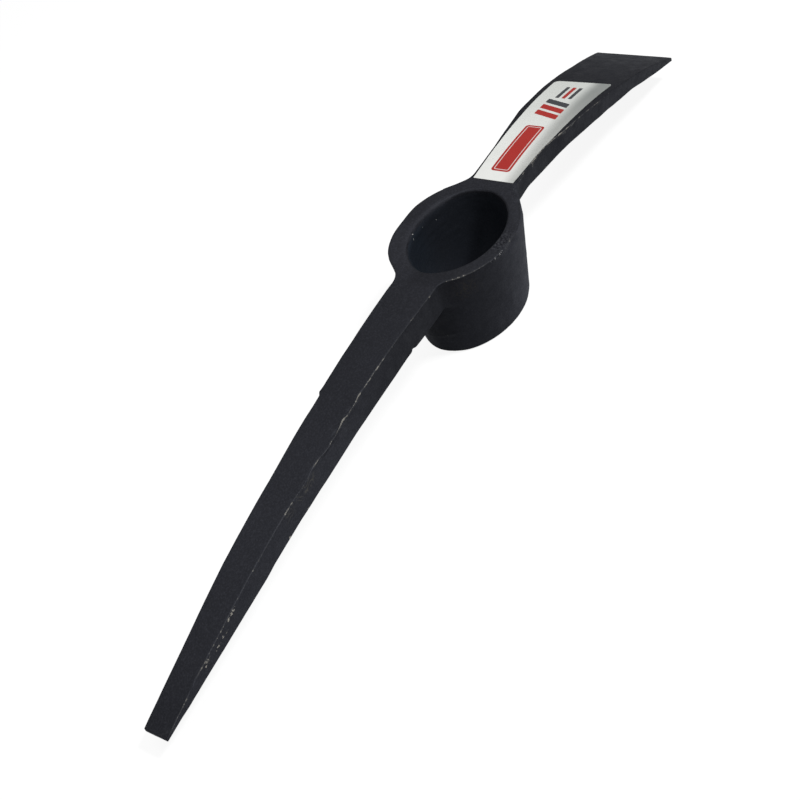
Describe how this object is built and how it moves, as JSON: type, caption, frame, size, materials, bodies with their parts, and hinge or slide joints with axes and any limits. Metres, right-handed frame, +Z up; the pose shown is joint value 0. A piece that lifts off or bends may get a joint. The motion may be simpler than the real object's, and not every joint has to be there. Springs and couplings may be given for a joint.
{
  "type": "pick axe head",
  "caption": "Forged steel pick axe head with a tapered oval handle eye, a long pick arm that curves down to a flat point, and a flared chisel blade with a film label.",
  "frame": {"origin": "on the axis of the handle eye, at the socket's lower face, on which the head stands", "axes": "+Z up the eye axis toward the rim, +X toward the chisel blade, +Y to the left of the blade"},
  "size_m": [0.53, 0.0692, 0.0553],
  "materials": {
    "socket_paint": "black paint over rough forged steel, matte",
    "pick_paint": "black paint over forged steel, matte, worn bare along the upper arris",
    "blade_paint": "black paint over forged steel, matte, chipped along the upper arris",
    "label_film": "silver film with a plain red panel, satin"
  },
  "bodies": {
    "root": {"eye_socket": "socket_paint", "pick_arm": "pick_paint", "chisel_blade": "blade_paint", "label": "label_film"}
  },
  "joints": []
}
